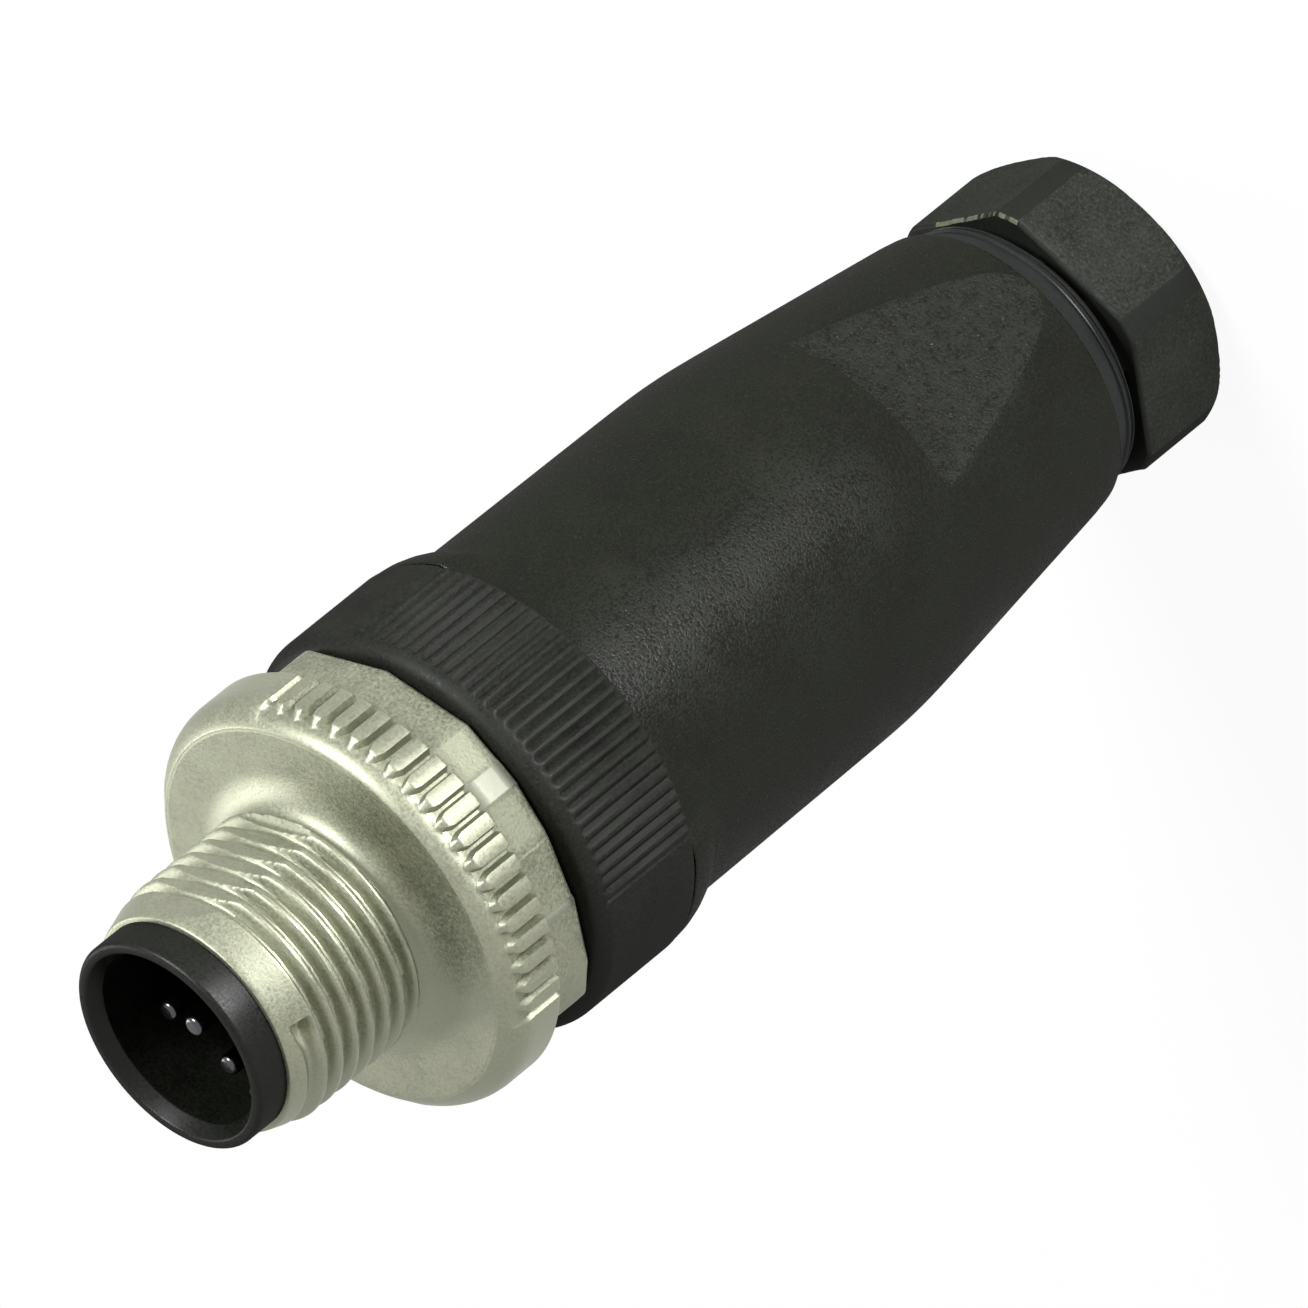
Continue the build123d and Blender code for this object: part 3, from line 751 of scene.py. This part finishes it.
def make_grip_body(size):
    patch, patch_psi = size.patch_height / MM, -73.5
    gland_thread, front_thread = 5.97, 8.47         # radii of the two inner threads
    inside = np.linspace(-1.0, 1.0, 25)
    outside = np.linspace(0.0, 1.0, 124)[1:-1]

    def columns(z):
        """Angles of one ring, 25 of them over the flat patch."""
        z = min(z, PATCH_FRONT)
        radius = max(body_radius(size, max(z, 7.55)), patch + 0.003)
        half = max(math.degrees(math.acos(min(1.0, patch / radius))), 1.2)
        rest = patch_psi + half + outside * (360.0 - 2 * half)
        return np.concatenate((patch_psi + inside * half, rest))

    def flare(psi, z):
        """How far the two lugs at the front rim stand out."""
        share = float(np.interp(z, (36.0, 36.4, 36.9, 37.4, 37.9, 38.3, BODY_FRONT),
                                (0.0, 0.16, 0.50, 0.76, 0.93, 0.985, 1.0)))
        return 0.77 * share * (1.0 - smooth(34.0, 43.0, off_either(psi, 4.0)))

    shell = Shell()
    rings, marks = [], []
    is_patch = np.array([1 if j < 24 else 0 for j in range(25 + len(outside))])
    plain = np.zeros(len(is_patch), int)

    def add(psi, r, z, mark=plain):
        rings.append(shell.ring(psi, r, z))
        marks.append(mark)

    psi = columns(40.0)
    for r, z in ((8.76, 37.5), (8.76, BODY_FRONT - 0.04), (8.80, BODY_FRONT)):
        add(psi, r, z)
    add(psi, body_radius(size, BODY_FRONT) - 0.06 + flare(psi, BODY_FRONT), BODY_FRONT)
    for z in np.concatenate((np.arange(38.44, 35.9, -0.13), np.linspace(35.5, 24.0, 16),
                             np.linspace(23.6, 18.4, 20))):
        add(psi, body_radius(size, float(z)) + flare(psi, float(z)), float(z))
    add(psi, body_radius(size, PATCH_FRONT + 0.02), PATCH_FRONT + 0.02, is_patch)
    for z in np.concatenate((np.linspace(18.17, 9.4, 46), np.linspace(9.2, 7.42, 14))):
        psi = columns(float(z))
        r = np.full(len(psi), body_radius(size, float(z)))
        flat = patch / np.cos(np.radians(off_axis(psi[:25], patch_psi)))
        r[:25] = np.minimum(r[:25], flat)
        add(psi, r, float(z), is_patch if z > 7.5 else plain)
    for r, z in ((7.22, 7.34), (7.16, 7.31), (7.0, 7.3), (6.92, 7.27), (6.90, 7.2), (6.84, 6.9), (6.78, 6.5),
                 (6.70, 6.34), (6.70, 6.30), (6.78, 6.25), (6.80, 6.20), (6.78, 6.14), (6.66, 6.08),
                 (6.62, 5.98), (6.62, 5.90), (6.70, 5.86), (6.70, 5.82), (6.62, NECK_END)):
        add(psi, r, z, plain + 2)
    for r, z in ((gland_thread + 0.08, NECK_END), (gland_thread, 5.88)):
        add(psi, r, z)
    for z in np.arange(6.0, 13.9, 0.12):
        add(psi, gland_thread + 0.3 * helix_cut(psi, float(z), 5.62, 1.0, 6.4, 13.4), float(z))
    for r, z in ((gland_thread, 13.98), (5.4, 14.0), (5.4, 19.5), (3.6, 19.5), (3.6, 20.75), (3.65, 20.8),
                 (5.6, 20.8), (7.5, 22.3), (7.5, 32.95), (7.55, 33.0), (front_thread, 33.0),
                 (front_thread, 33.2)):
        add(psi, r, z)
    for z in np.arange(33.3, 37.1, 0.12):
        add(psi, front_thread + 0.22 * helix_cut(psi, float(z), 33.12, 1.0, 33.5, 37.0), float(z))
    add(psi, front_thread, 37.35)
    for (a, b), mark in zip(zip(rings, rings[1:] + [rings[0]]), marks):
        shell.join(a, b, mark)
    piece = shell.piece("grip_body_dressed", sharp=34.0)
    dress(piece, body_finish(), patch_finish(), neck_finish())
    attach(piece, "housing")
    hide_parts("grip_body")


def make_gland_nut(size):
    half_flats, corner, land = size.nut_flats / MM / 2, size.nut_corner / MM, -47.0
    reach = math.degrees(math.acos(half_flats / corner))
    next_flat = 60.0 - reach
    share = np.concatenate((np.linspace(-reach + 0.5, reach - 0.5, 41), (reach - 0.12, reach + 0.2),
                            np.linspace(reach + 0.9, next_flat - 0.9, 6),
                            (next_flat - 0.2, next_flat + 0.12)))
    psi = np.concatenate([land + 30.0 + 60.0 * i + share for i in range(6)])
    turn = np.radians(off_axis(psi, land + 30.0) % 60.0)
    turn = np.where(turn > math.radians(30.0), turn - math.radians(60.0), turn)
    hexagon = half_flats / np.cos(turn)
    soft = 0.012
    outline = -soft * np.log(np.exp(-hexagon / soft) + np.exp(-corner / soft))
    chance = np.random.default_rng(11)
    jag = chance.random(len(psi))
    jag = np.clip(1.3 * (jag + np.roll(jag, 1)) / 2 - 0.1, 0.0, 1.0)
    wave = 0.03 * np.sin(np.radians(psi * 7.0)) + 0.02 * np.sin(np.radians(psi * 17.0 + 40.0))
    wave = wave + 0.03 * (jag - 0.5)
    from_flash = off_axis(psi, -28.0)
    crumb = smooth(5.0, 10.0, np.abs(from_flash + 33.0)) * (np.abs(from_flash) < 24.0)
    crumb = crumb * np.where(jag > 0.35, jag, 0.0)
    shell = Shell()
    rings = shell.profile(psi, rounded([(3.25, 6.6), (3.25, 0.5), (3.25, 0.0, 0.5), (4.2, 0.0)], 5)[:-1])
    for r, z in rounded([(5.0, 0.0), (corner, 0.0, 1.5), (corner, 2.5)], 16)[:-1]:
        rings.append(shell.ring(psi, np.minimum(outline, r), z))
    rings += shell.profile(psi, ((outline, 2.2), (outline, 4.0), (outline, 4.92)))
    front_from = len(rings)
    for drop, z in ((0.02, 5.02), (0.08, 5.11), (0.17, 5.16), (0.4, NUT_FRONT), (0.9, 5.15)):
        near = 1.0 if drop < 0.3 else 0.15
        rings.append(shell.ring(psi, outline - drop + near * (0.6 * wave + 0.07 * crumb),
                                z + wave * 0.4 + near * 0.10 * crumb))
    rings += shell.profile(psi, ((5.9, NUT_FRONT), (5.82, 5.3)))
    for z in np.arange(5.42, 11.9, 0.12):
        rings.append(shell.ring(psi, 5.9 - 0.3 * helix_cut(psi, float(z), 5.5, 1.0, 6.0, 12.0), float(z)))
    rings += shell.profile(psi, ((5.78, 12.05), (5.6, 12.15), (4.75, 12.15), (4.6, 12.0), (4.6, 7.6),
                                 (3.6, 6.6)))
    on_land = (np.abs(off_axis(psi * 6.0, land * 6.0)) / 6.0 < 30.0 - reach - 0.05).astype(int)
    ring_marks = [0] * 5 + [on_land] * (len(rings) - 5)
    for k, (a, b) in enumerate(zip(rings, rings[1:] + [rings[0]])):
        front = np.where((crumb > 0.36) & (k in (front_from, front_from + 1)), 2, 1)
        shell.join(a, b, ring_marks[k] if k < front_from else front)
    piece = shell.piece("gland_nut_dressed", sharp=26.0)
    dress(piece, nut_finish(), land_finish(), flash_finish())
    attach(piece, "nut")
    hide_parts("gland_nut")


class ConnectorPiece:
    """What the operators of the pieces share: they build their mesh and finish in the scene."""
    bl_options = {"REGISTER", "UNDO"}
    make = None

    def execute(self, context):
        type(self).make(context.scene.connector_sizes)
        return {"FINISHED"}


class CONNECTOR_OT_coupling_screw(ConnectorPiece, bpy.types.Operator):
    """Build the nickel-plated coupling screw with its thread, toothed flange and collar"""
    bl_idname = "connector.coupling_screw"
    bl_label = "Coupling Screw"
    make = make_coupling_screw


class CONNECTOR_OT_contact_carrier(ConnectorPiece, bpy.types.Operator):
    """Build the contact carrier with its keyed shroud"""
    bl_idname = "connector.contact_carrier"
    bl_label = "Contact Carrier"
    make = make_contact_carrier


class CONNECTOR_OT_contacts(ConnectorPiece, bpy.types.Operator):
    """Build the five contacts with their round-nosed pins and terminals"""
    bl_idname = "connector.contacts"
    bl_label = "Contacts"
    make = make_contacts


class CONNECTOR_OT_knurled_ring(ConnectorPiece, bpy.types.Operator):
    """Build the knurled ring with its threaded spigot"""
    bl_idname = "connector.knurled_ring"
    bl_label = "Knurled Ring"
    make = make_knurled_ring


class CONNECTOR_OT_body_seal(ConnectorPiece, bpy.types.Operator):
    """Build the sealing ring between the knurled ring and the grip body"""
    bl_idname = "connector.body_seal"
    bl_label = "Body Seal"
    make = make_body_seal


class CONNECTOR_OT_grip_body(ConnectorPiece, bpy.types.Operator):
    """Build the tapered grip body with its flares, flat patch and inner threads"""
    bl_idname = "connector.grip_body"
    bl_label = "Grip Body"
    make = make_grip_body


class CONNECTOR_OT_gland_nut(ConnectorPiece, bpy.types.Operator):
    """Build the hexagonal gland nut with its threaded spigot"""
    bl_idname = "connector.gland_nut"
    bl_label = "Gland Nut"
    make = make_gland_nut


class CONNECTOR_OT_inner_finishes(bpy.types.Operator):
    """Give the inner pieces that keep their solids their own finishes"""
    bl_idname = "connector.inner_finishes"
    bl_label = "Inner Finishes"
    bl_options = {"REGISTER", "UNDO"}

    def execute(self, context):
        block = finish_material("Terminal block moulding", (0.035, 0.036, 0.036, 1.0), roughness=0.55,
                                level=0.3, tone=0.12, cloud=400.0, grain=5000.0)
        cage = finish_material("Cage moulding", (0.045, 0.046, 0.046, 1.0), roughness=0.5, level=0.3,
                               tone=0.12, cloud=400.0, grain=5000.0)
        nodes = frame["nodes"]
        dress(nodes["retaining_ring"], steel_finish())
        dress(nodes["terminal_block"], block)
        dress(nodes["pinch_ring"], cage)
        dress(nodes["cable_seal"], rubber_finish())
        for number in range(1, len(CONTACT_PSI) + 2):
            dress(nodes[f"terminal_screw_{number}"], steel_finish())
        for node in nodes.values():
            node.data.shade_smooth()
            node.data.set_sharp_from_angle(angle=math.radians(25.0))
        return {"FINISHED"}


def area_lamp(name, power, place, aim, width, height, tint=(1.0, 1.0, 1.0)):
    lamp = bpy.data.lights.new(name, "AREA")
    lamp.shape, lamp.size, lamp.size_y, lamp.energy, lamp.color = "RECTANGLE", width, height, power, tint
    item = bpy.data.objects.new(name, lamp)
    bpy.context.scene.collection.objects.link(item)
    item.location = place
    item.rotation_euler = (Vector(aim) - Vector(place)).to_track_quat("-Z", "Y").to_euler()
    item.visible_camera = False


def seen_white(nodes, links):
    """1 for rays from the camera, from gloss and through glass, which all see the white surroundings."""
    path = nodes.new("ShaderNodeLightPath")
    seen = path.outputs["Is Camera Ray"]
    for kind in ("Is Glossy Ray", "Is Transmission Ray"):
        larger = nodes.new("ShaderNodeMath")
        larger.operation = "MAXIMUM"
        links.new(seen, larger.inputs[0])
        links.new(path.outputs[kind], larger.inputs[1])
        seen = larger.outputs[0]
    return seen


def floor_material(tint):
    """A matt floor that looks almost white to the camera and in gloss, with a faint shadow of the object."""
    material = bpy.data.materials.new("Studio floor")
    material.use_nodes = True
    nodes, links = material.node_tree.nodes, material.node_tree.links
    shader = nodes["Principled BSDF"]
    shader.inputs["Base Color"].default_value = tint
    shader.inputs["Roughness"].default_value = 0.9
    shader.inputs["Specular IOR Level"].default_value = 0.1
    white = nodes.new("ShaderNodeEmission")
    white.inputs["Color"].default_value = (1.0, 1.0, 1.0, 1.0)
    white.inputs["Strength"].default_value = 1.0
    mix = nodes.new("ShaderNodeMixShader")
    share = nodes.new("ShaderNodeMath")
    share.operation = "MULTIPLY"
    share.inputs[1].default_value = 0.93
    links.new(seen_white(nodes, links), share.inputs[0])
    links.new(share.outputs[0], mix.inputs[0])
    links.new(shader.outputs[0], mix.inputs[1])
    links.new(white.outputs[0], mix.inputs[2])
    links.new(mix.outputs[0], nodes["Material Output"].inputs["Surface"])
    return material


def make_floor(scene, tint):
    gap = 0.00005                                   # keeps the nut's rear face clear of the floor
    mesh = bpy.data.meshes.new("studio_floor")
    work = bmesh.new()
    bmesh.ops.create_grid(work, x_segments=8, y_segments=8, size=3.0)
    work.to_mesh(mesh)
    work.free()
    floor = bpy.data.objects.new("studio_floor", mesh)
    scene.collection.objects.link(floor)
    floor.location = (0.0, 0.0, -gap)
    mesh.materials.append(floor_material(tint))


def make_world(scene, strength):
    """Weak even light from all round. The camera and gloss see plain white instead."""
    world = bpy.data.worlds.new("Studio")
    scene.world = world
    world.use_nodes = True
    nodes, links = world.node_tree.nodes, world.node_tree.links
    ambient = nodes["Background"]
    ambient.inputs["Color"].default_value = (1.0, 1.0, 1.0, 1.0)
    ambient.inputs["Strength"].default_value = strength
    white = nodes.new("ShaderNodeBackground")
    white.inputs["Strength"].default_value = 1.0
    white.inputs["Color"].default_value = (1.0, 1.0, 1.0, 1.0)
    mix = nodes.new("ShaderNodeMixShader")
    links.new(seen_white(nodes, links), mix.inputs[0])
    links.new(ambient.outputs[0], mix.inputs[1])
    links.new(white.outputs[0], mix.inputs[2])
    links.new(mix.outputs[0], nodes["World Output"].inputs["Surface"])


def make_lamps(light, middle):
    area_lamp("Front lamp", light.front, (0.004, -0.15, 0.013), middle, 0.065, 0.022, (0.985, 0.99, 1.0))
    area_lamp("Side lamp", light.side, (0.42, -0.20, 0.48), middle, 0.22, 0.22, (0.98, 0.99, 1.0))
    area_lamp("Back lamp", light.back, (0.12, 0.22, 0.20), middle, 0.14, 0.14, (1.0, 1.0, 0.98))


def make_camera(scene, light, aim):
    """The camera at the photograph's angle, rolled so that the standing connector lies across the picture."""
    tilt, roll = math.radians(57.9), math.radians(39.09)
    film_width = 36.0
    back = Vector((0.0, -math.sin(tilt), math.cos(tilt)))
    along, side = Vector((0.0, -math.cos(tilt), -math.sin(tilt))), Vector((1.0, 0.0, 0.0))
    right = math.cos(roll) * along - math.sin(roll) * side
    up = math.sin(roll) * along + math.cos(roll) * side
    lens = bpy.data.cameras.new("Camera")
    lens.sensor_fit, lens.sensor_width = "HORIZONTAL", film_width
    lens.lens = film_width * light.distance / light.view_width
    lens.clip_start, lens.clip_end = 0.01, 20.0
    camera = bpy.data.objects.new("Camera", lens)
    scene.collection.objects.link(camera)
    turn = Matrix((right, up, back)).transposed().to_4x4()
    camera.matrix_world = Matrix.Translation(aim + back * light.distance) @ turn
    scene.camera = camera


class CONNECTOR_OT_stage(bpy.types.Operator):
    """Set up the pale floor, the soft studio light and the camera"""
    bl_idname = "connector.stage"
    bl_label = "Stage"
    bl_options = {"REGISTER", "UNDO"}

    def execute(self, context):
        scene = context.scene
        light = scene.studio_light
        middle = Vector((0.00002, 0.0, 0.02963))        # the connector's middle in the picture
        make_floor(scene, scene.connector_finish.floor)
        make_world(scene, light.world)
        make_lamps(light, middle)
        make_camera(scene, light, middle + Vector(light.shift))
        scene.view_settings.view_transform = "Standard"
        return {"FINISHED"}


class CONNECTOR_PT_panel(bpy.types.Panel):
    """Lists the connector's pieces, sizes, colours and light"""
    bl_label = "Round Cable Connector"
    bl_idname = "CONNECTOR_PT_panel"
    bl_space_type = "VIEW_3D"
    bl_region_type = "UI"
    bl_category = "Connector"

    def draw(self, context):
        layout, scene = self.layout, context.scene
        for title, group in (("Sizes", scene.connector_sizes), ("Finish", scene.connector_finish),
                             ("Light", scene.studio_light)):
            box = layout.box()
            box.label(text=title)
            for name in group.bl_rna.properties.keys():
                if name not in ("rna_type", "name"):
                    box.prop(group, name)
        for step in STEPS:
            layout.operator(step.bl_idname)


SETTINGS = (ConnectorSizes, ConnectorFinish, StudioLight)
STEPS = (CONNECTOR_OT_coupling_screw, CONNECTOR_OT_contact_carrier, CONNECTOR_OT_contacts,
         CONNECTOR_OT_knurled_ring, CONNECTOR_OT_body_seal, CONNECTOR_OT_grip_body, CONNECTOR_OT_gland_nut,
         CONNECTOR_OT_inner_finishes, CONNECTOR_OT_stage)


def register():
    for item in SETTINGS + STEPS + (CONNECTOR_PT_panel,):
        bpy.utils.register_class(item)
    bpy.types.Scene.connector_sizes = PointerProperty(type=ConnectorSizes)
    bpy.types.Scene.connector_finish = PointerProperty(type=ConnectorFinish)
    bpy.types.Scene.studio_light = PointerProperty(type=StudioLight)


def unregister():
    del bpy.types.Scene.studio_light
    del bpy.types.Scene.connector_finish
    del bpy.types.Scene.connector_sizes
    for item in reversed(SETTINGS + STEPS + (CONNECTOR_PT_panel,)):
        bpy.utils.unregister_class(item)


def main():
    register()
    for step in STEPS:
        area, name = step.bl_idname.split(".")
        getattr(getattr(bpy.ops, area), name)()


if __name__ == "__main__":
    main()
